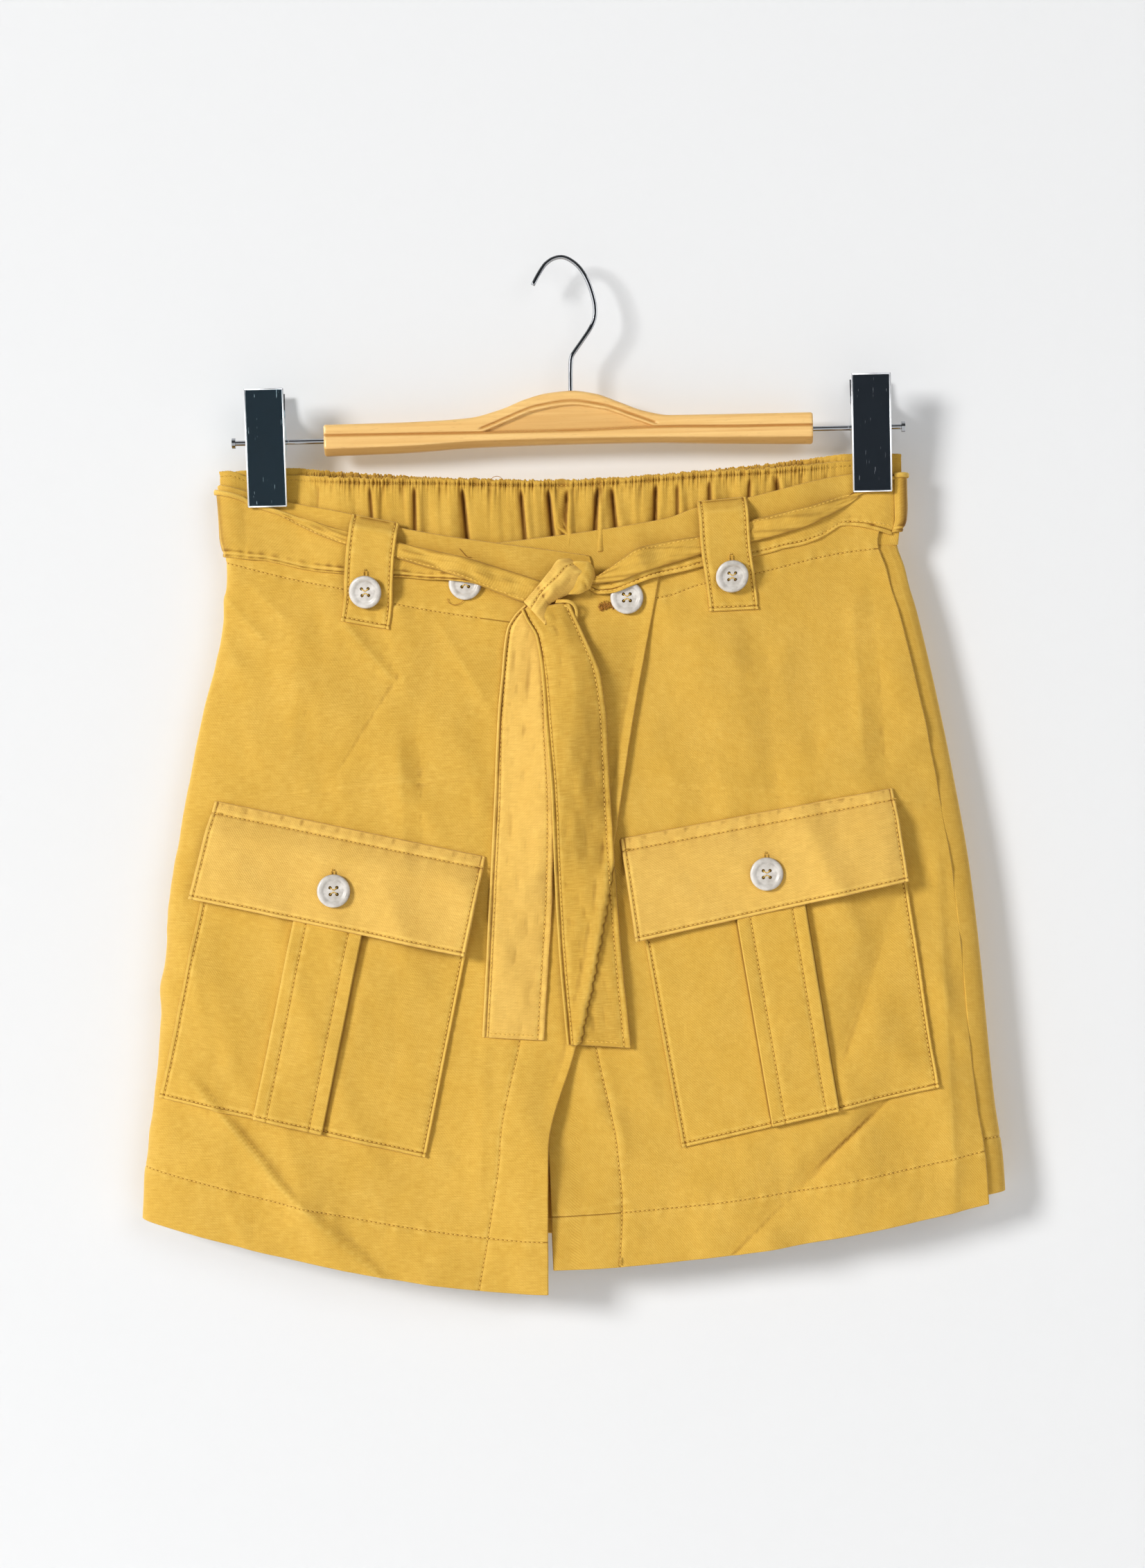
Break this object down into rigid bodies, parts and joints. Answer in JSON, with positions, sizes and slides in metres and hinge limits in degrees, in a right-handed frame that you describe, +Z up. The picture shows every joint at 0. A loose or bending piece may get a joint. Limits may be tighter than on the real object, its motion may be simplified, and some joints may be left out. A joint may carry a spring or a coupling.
{
  "type": "wrap-front shorts on a clip hanger",
  "caption": "Wrap-front shorts with a gathered waist, tie belt, flap pockets and buttoned belt tabs, hung flat from a wooden bar hanger by its metal clips.",
  "frame": {"origin": "inside top of the hook's crook, where the hanger hangs from a rail", "axes": "+X to the right as the front is seen, +Y behind the shorts, +Z up"},
  "size_m": [0.4951, 0.0439, 0.5846],
  "materials": {
    "mustard_twill": "matt cotton twill with a fine diagonal weave",
    "button_shell": "pearly grey-white, polished",
    "beech": "clear satin varnish",
    "chrome": "bright plated steel"
  },
  "bodies": {
    "root": {"waistband_front": "mustard_twill", "waistband_back": "mustard_twill", "front_left": "mustard_twill", "front_right": "mustard_twill", "back_left": "mustard_twill", "back_right": "mustard_twill", "wrap_panel_upper": "mustard_twill", "wrap_panel_lower": "mustard_twill", "pocket_left": "mustard_twill", "pocket_right": "mustard_twill", "flap_left": "mustard_twill", "flap_right": "mustard_twill", "tab_left": "mustard_twill", "tab_right": "mustard_twill", "belt_left": "mustard_twill", "belt_right": "mustard_twill", "belt_back": "mustard_twill", "belt_knot": "mustard_twill", "belt_tail_left": "mustard_twill", "belt_tail_right": "mustard_twill", "button_tab_left": "button_shell", "button_tab_right": "button_shell", "button_waist_left": "button_shell", "button_waist_right": "button_shell", "button_flap_left": "button_shell", "button_flap_right": "button_shell", "hanger_bar": "beech", "hook": "chrome", "rod_left": "chrome", "rod_right": "chrome", "clip_front_left": "chrome", "clip_front_right": "chrome", "clip_back_left": "chrome", "clip_back_right": "chrome", "clip_spring_left": "chrome", "clip_spring_right": "chrome"}
  },
  "joints": []
}
